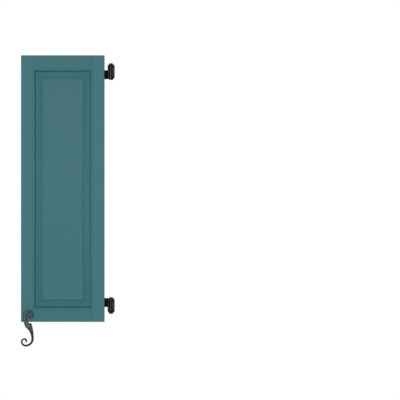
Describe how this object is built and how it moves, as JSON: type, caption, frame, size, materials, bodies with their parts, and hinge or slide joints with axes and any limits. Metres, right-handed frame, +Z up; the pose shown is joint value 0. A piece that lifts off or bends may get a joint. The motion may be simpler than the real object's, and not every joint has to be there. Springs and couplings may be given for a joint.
{
  "type": "raised panel shutter",
  "caption": "Left-hand raised panel window shutter leaf on strap hinges and plate pintles, held open by an S-scroll holdback on a lag post.",
  "frame": {"origin": "centre of the lower pintle plate's back face, on the wall plane", "axes": "+Z up, +Y into the wall, +X from the open leaf towards the window"},
  "size_m": [0.4253, 0.1704, 1.3311],
  "materials": {
    "stile_paint": "satin teal paint on wood, grain and brushing upright",
    "rail_paint": "satin teal paint on wood, grain and brushing level",
    "panel_paint": "satin teal paint on wood, grain and brushing upright",
    "strap_iron": "matt black on wrought steel",
    "pintle_iron": "dull grey-black on wrought steel",
    "pin_steel": "black on turned steel, worn where it bears",
    "post_iron": "satin black on steel",
    "scroll_iron": "hammered black on forged steel, rubbed blue-grey on its front"
  },
  "bodies": {
    "wall_hardware": {"lower_pintle_plate": "pintle_iron", "lower_pintle_arm": "pintle_iron", "lower_pintle_pin": "pin_steel", "upper_pintle_plate": "pintle_iron", "upper_pintle_arm": "pintle_iron", "upper_pintle_pin": "pin_steel", "holdback_post": "post_iron", "holdback_washer": "post_iron", "holdback_nut": "scroll_iron"},
    "shutter_leaf": {"hinge_stile": "stile_paint", "free_stile": "stile_paint", "top_rail": "rail_paint", "bottom_rail": "rail_paint", "raised_panel": "panel_paint", "lower_strap_hinge": "strap_iron", "upper_strap_hinge": "strap_iron"},
    "holdback": {"holdback_scroll": "scroll_iron"}
  },
  "joints": [
    {"name": "leaf_swing", "type": "hinge", "parent": "wall_hardware", "child": "shutter_leaf", "pos_m": [0, -0.057, 0], "axis": [0, 0, 1], "range_deg": [0, 180]},
    {"name": "holdback_turn", "type": "hinge", "parent": "wall_hardware", "child": "holdback", "pos_m": [-0.3751, -0.0969, -0.0895], "axis": [0, -1, 0], "continuous": true}
  ]
}
